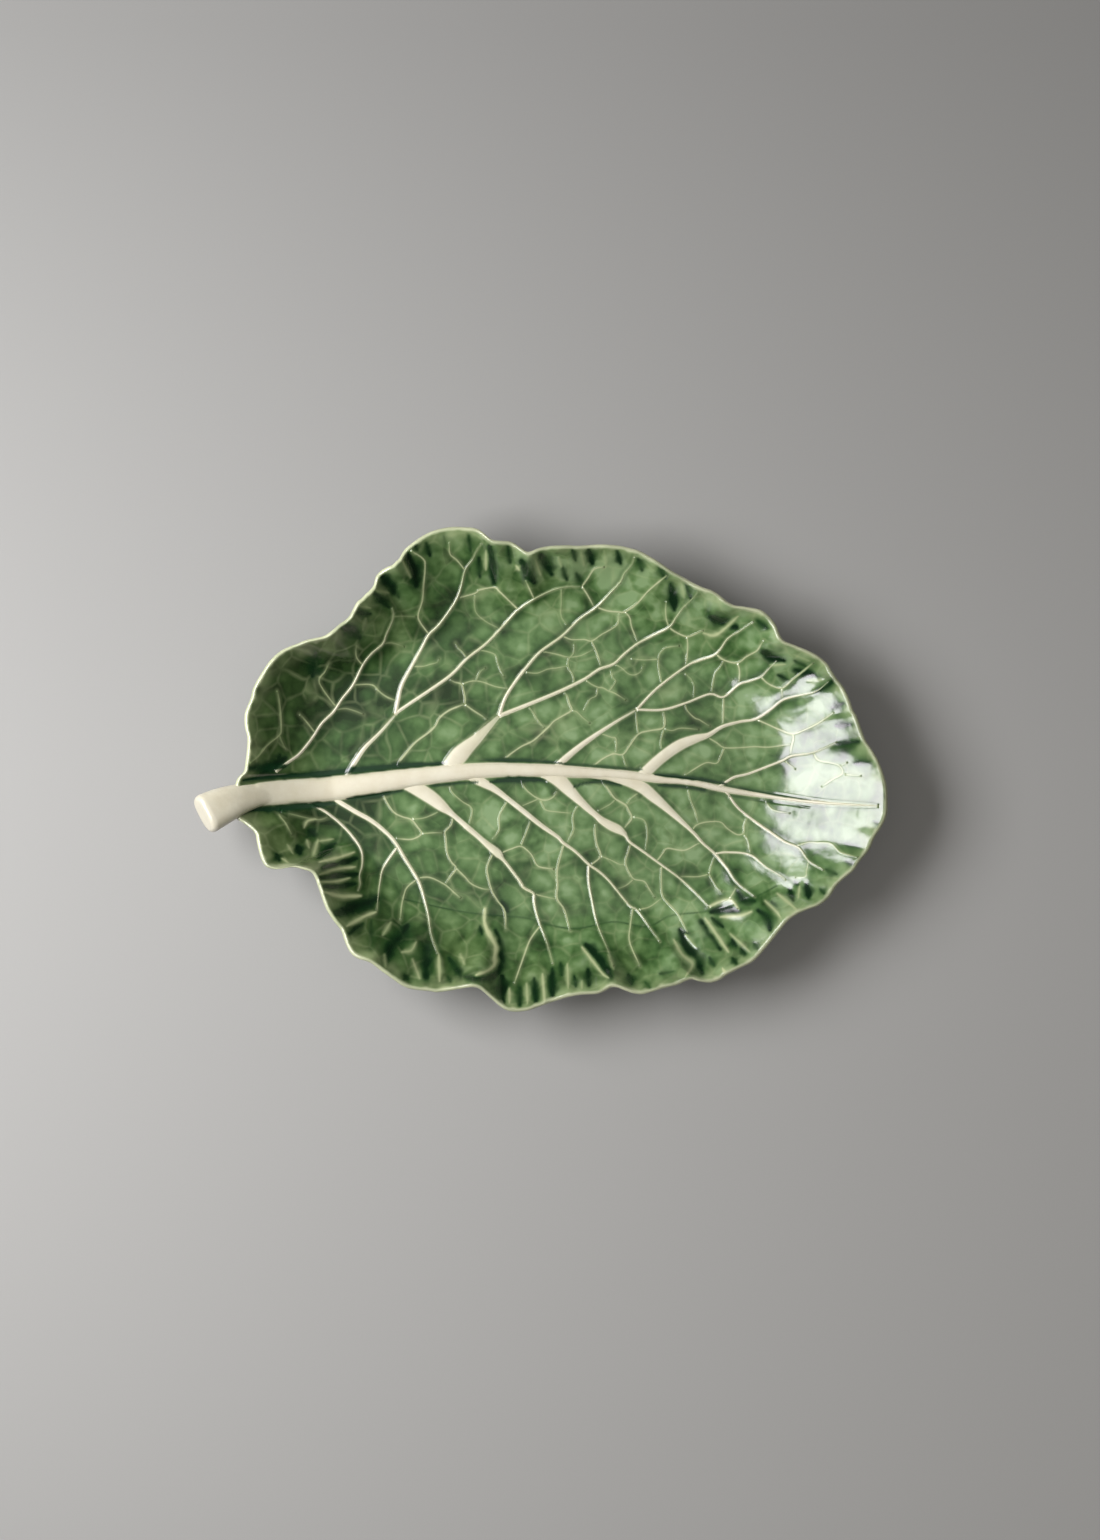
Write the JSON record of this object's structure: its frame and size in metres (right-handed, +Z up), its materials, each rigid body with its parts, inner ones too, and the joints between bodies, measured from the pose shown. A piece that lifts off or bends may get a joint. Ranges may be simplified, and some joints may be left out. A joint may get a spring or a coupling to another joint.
{
  "type": "leaf shaped plate",
  "caption": "Leaf shaped serving plate: dished ruffled leaf with a cut stalk handle, raised midrib and side veins, and an oval foot ring.",
  "frame": {"origin": "middle of the plate's bounding box, on the table plane under the foot ring", "axes": "+X along the leaf from the stalk to the tip, +Y across the leaf, +Z up out of the dish"},
  "size_m": [0.33, 0.2309, 0.0429],
  "materials": {
    "leaf_glaze": "glossy green lead-style glaze, darker where it pools",
    "vein_glaze": "glossy clear glaze over cream slip",
    "foot_clay": "bare cream earthenware"
  },
  "bodies": {
    "root": {"leaf_blade": "leaf_glaze", "midrib": "vein_glaze", "stalk": "vein_glaze", "foot_ring": "foot_clay", "side_vein_upper_1": "vein_glaze", "side_vein_upper_2": "vein_glaze", "side_vein_upper_3": "vein_glaze", "side_vein_upper_4": "vein_glaze", "side_vein_upper_5": "vein_glaze", "side_vein_upper_6": "vein_glaze", "side_vein_lower_1": "vein_glaze", "side_vein_lower_2": "vein_glaze", "side_vein_lower_3": "vein_glaze", "side_vein_lower_4": "vein_glaze", "side_vein_lower_5": "vein_glaze", "side_vein_lower_6": "vein_glaze", "side_vein_lower_7": "vein_glaze"}
  },
  "joints": []
}
